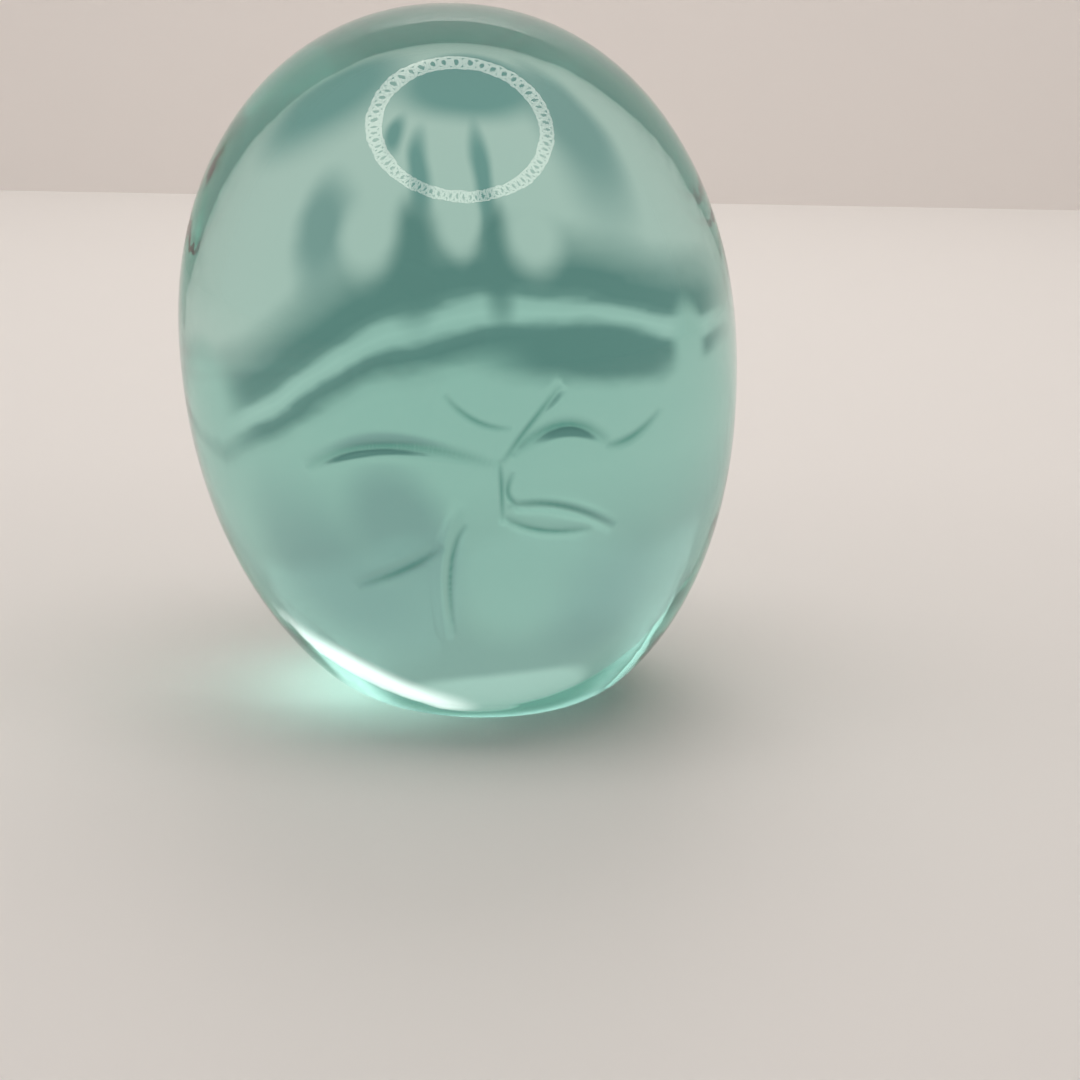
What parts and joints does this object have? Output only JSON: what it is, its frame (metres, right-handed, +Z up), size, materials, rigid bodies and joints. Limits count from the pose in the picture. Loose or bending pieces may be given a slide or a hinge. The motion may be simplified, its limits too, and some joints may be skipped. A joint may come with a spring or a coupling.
{
  "type": "glass paperweight",
  "caption": "Solid clear aqua glass egg that stands on a small flat foot, leans slightly to one side and holds papers down by its weight.",
  "frame": {"origin": "middle of the flat foot, on the surface that it rests on", "axes": "+Z up through the dome, -X the side that the glass leans to, -Y the front with the shear mark"},
  "size_m": [0.0662, 0.066, 0.0813],
  "materials": {
    "aqua_glass": "gloss"
  },
  "bodies": {
    "root": {"glass_body": "aqua_glass"}
  },
  "joints": []
}
